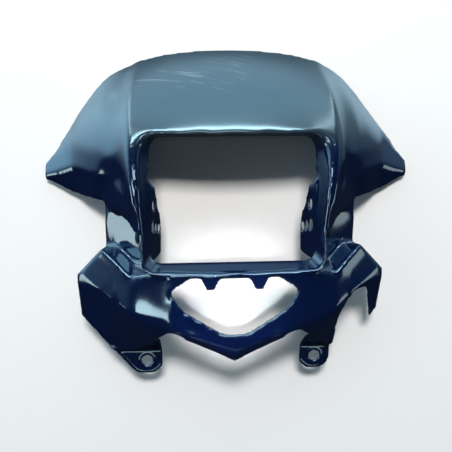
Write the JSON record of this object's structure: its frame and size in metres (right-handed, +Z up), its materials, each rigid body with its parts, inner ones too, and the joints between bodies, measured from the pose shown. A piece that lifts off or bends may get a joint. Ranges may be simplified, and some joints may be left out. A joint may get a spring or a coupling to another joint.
{
  "type": "motorcycle front fairing",
  "caption": "Moulded headlamp fairing for a motorcycle: hood with swept wings, framed lamp opening, chin with a toothed air mouth, and lower lugs to bolt it on.",
  "frame": {"origin": "midway between the two lower lug holes, in the back face of the lug plates", "axes": "as on the motorcycle: +Z up, the fairing faces -Y, +X to the right of someone looking at its front"},
  "size_m": [0.346, 0.1178, 0.302],
  "materials": {
    "gloss_black_plastic": "gloss, slightly scratched on the hood"
  },
  "bodies": {
    "root": {"fairing_shell": "gloss_black_plastic"}
  },
  "joints": []
}
